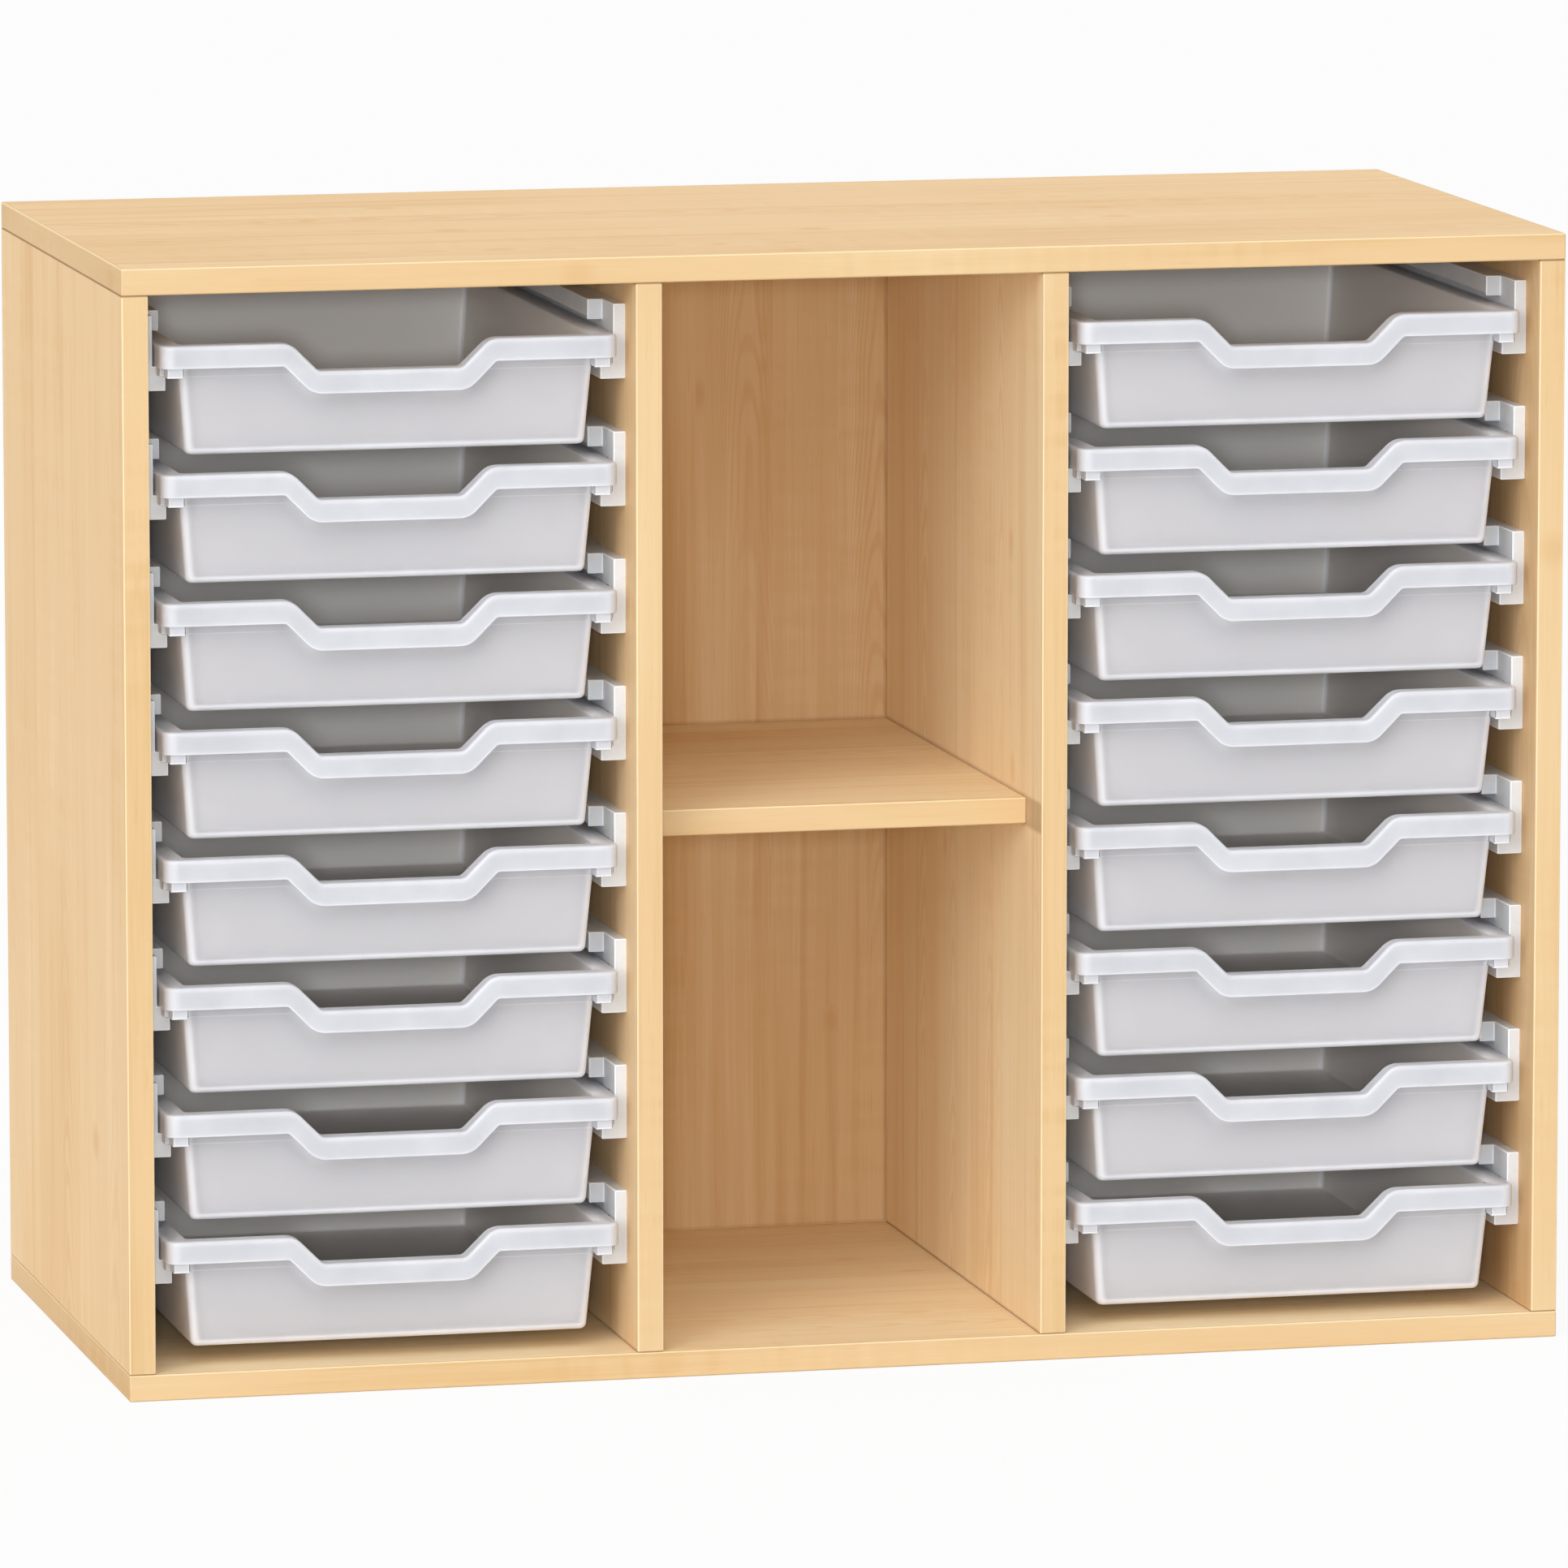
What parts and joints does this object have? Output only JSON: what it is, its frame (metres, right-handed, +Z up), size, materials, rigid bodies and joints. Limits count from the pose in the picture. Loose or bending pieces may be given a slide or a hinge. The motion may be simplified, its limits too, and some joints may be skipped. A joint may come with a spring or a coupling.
{
  "type": "classroom tray storage unit",
  "caption": "Low maple-finish board unit with two columns of shallow frosted sliding trays on moulded runners and an open centre bay with a fixed shelf.",
  "frame": {"origin": "on the floor, under the middle of the unit's width and depth", "axes": "+X to the right seen from the open front, +Y towards the back, +Z up"},
  "size_m": [1, 0.46, 0.765],
  "materials": {
    "maple_board": "pale maple foil on chipboard with matching edging, satin",
    "frosted_tray": "frosted translucent polypropylene, satin",
    "white_runner": "white moulded plastic, satin",
    "beech_dowel": "bare beech"
  },
  "bodies": {
    "cabinet": {"top_panel": "maple_board", "bottom_panel": "maple_board", "left_side": "maple_board", "right_side": "maple_board", "left_divider": "maple_board", "right_divider": "maple_board", "back_panel": "maple_board", "centre_shelf": "maple_board", "shelf_dowel_left_front": "beech_dowel", "shelf_dowel_left_rear": "beech_dowel", "shelf_dowel_right_front": "beech_dowel", "shelf_dowel_right_rear": "beech_dowel", "runner_left_1_side": "white_runner", "runner_left_1_divider": "white_runner", "runner_left_2_side": "white_runner", "runner_left_2_divider": "white_runner", "runner_left_3_side": "white_runner", "runner_left_3_divider": "white_runner", "runner_left_4_side": "white_runner", "runner_left_4_divider": "white_runner", "runner_left_5_side": "white_runner", "runner_left_5_divider": "white_runner", "runner_left_6_side": "white_runner", "runner_left_6_divider": "white_runner", "runner_left_7_side": "white_runner", "runner_left_7_divider": "white_runner", "runner_left_8_side": "white_runner", "runner_left_8_divider": "white_runner", "runner_right_1_side": "white_runner", "runner_right_1_divider": "white_runner", "runner_right_2_side": "white_runner", "runner_right_2_divider": "white_runner", "runner_right_3_side": "white_runner", "runner_right_3_divider": "white_runner", "runner_right_4_side": "white_runner", "runner_right_4_divider": "white_runner", "runner_right_5_side": "white_runner", "runner_right_5_divider": "white_runner", "runner_right_6_side": "white_runner", "runner_right_6_divider": "white_runner", "runner_right_7_side": "white_runner", "runner_right_7_divider": "white_runner", "runner_right_8_side": "white_runner", "runner_right_8_divider": "white_runner"},
    "tray_left_1": {"tray_left_1": "frosted_tray"},
    "tray_left_2": {"tray_left_2": "frosted_tray"},
    "tray_left_3": {"tray_left_3": "frosted_tray"},
    "tray_left_4": {"tray_left_4": "frosted_tray"},
    "tray_left_5": {"tray_left_5": "frosted_tray"},
    "tray_left_6": {"tray_left_6": "frosted_tray"},
    "tray_left_7": {"tray_left_7": "frosted_tray"},
    "tray_left_8": {"tray_left_8": "frosted_tray"},
    "tray_right_1": {"tray_right_1": "frosted_tray"},
    "tray_right_2": {"tray_right_2": "frosted_tray"},
    "tray_right_3": {"tray_right_3": "frosted_tray"},
    "tray_right_4": {"tray_right_4": "frosted_tray"},
    "tray_right_5": {"tray_right_5": "frosted_tray"},
    "tray_right_6": {"tray_right_6": "frosted_tray"},
    "tray_right_7": {"tray_right_7": "frosted_tray"},
    "tray_right_8": {"tray_right_8": "frosted_tray"}
  },
  "joints": [
    {"name": "tray_left_1_slide", "type": "slide", "parent": "cabinet", "child": "tray_left_1", "axis": [0, -1, 0], "range_m": [0, 0.3]},
    {"name": "tray_left_2_slide", "type": "slide", "parent": "cabinet", "child": "tray_left_2", "axis": [0, -1, 0], "range_m": [0, 0.3]},
    {"name": "tray_left_3_slide", "type": "slide", "parent": "cabinet", "child": "tray_left_3", "axis": [0, -1, 0], "range_m": [0, 0.3]},
    {"name": "tray_left_4_slide", "type": "slide", "parent": "cabinet", "child": "tray_left_4", "axis": [0, -1, 0], "range_m": [0, 0.3]},
    {"name": "tray_left_5_slide", "type": "slide", "parent": "cabinet", "child": "tray_left_5", "axis": [0, -1, 0], "range_m": [0, 0.3]},
    {"name": "tray_left_6_slide", "type": "slide", "parent": "cabinet", "child": "tray_left_6", "axis": [0, -1, 0], "range_m": [0, 0.3]},
    {"name": "tray_left_7_slide", "type": "slide", "parent": "cabinet", "child": "tray_left_7", "axis": [0, -1, 0], "range_m": [0, 0.3]},
    {"name": "tray_left_8_slide", "type": "slide", "parent": "cabinet", "child": "tray_left_8", "axis": [0, -1, 0], "range_m": [0, 0.3]},
    {"name": "tray_right_1_slide", "type": "slide", "parent": "cabinet", "child": "tray_right_1", "axis": [0, -1, 0], "range_m": [0, 0.3]},
    {"name": "tray_right_2_slide", "type": "slide", "parent": "cabinet", "child": "tray_right_2", "axis": [0, -1, 0], "range_m": [0, 0.3]},
    {"name": "tray_right_3_slide", "type": "slide", "parent": "cabinet", "child": "tray_right_3", "axis": [0, -1, 0], "range_m": [0, 0.3]},
    {"name": "tray_right_4_slide", "type": "slide", "parent": "cabinet", "child": "tray_right_4", "axis": [0, -1, 0], "range_m": [0, 0.3]},
    {"name": "tray_right_5_slide", "type": "slide", "parent": "cabinet", "child": "tray_right_5", "axis": [0, -1, 0], "range_m": [0, 0.3]},
    {"name": "tray_right_6_slide", "type": "slide", "parent": "cabinet", "child": "tray_right_6", "axis": [0, -1, 0], "range_m": [0, 0.3]},
    {"name": "tray_right_7_slide", "type": "slide", "parent": "cabinet", "child": "tray_right_7", "axis": [0, -1, 0], "range_m": [0, 0.3]},
    {"name": "tray_right_8_slide", "type": "slide", "parent": "cabinet", "child": "tray_right_8", "axis": [0, -1, 0], "range_m": [0, 0.3]}
  ]
}
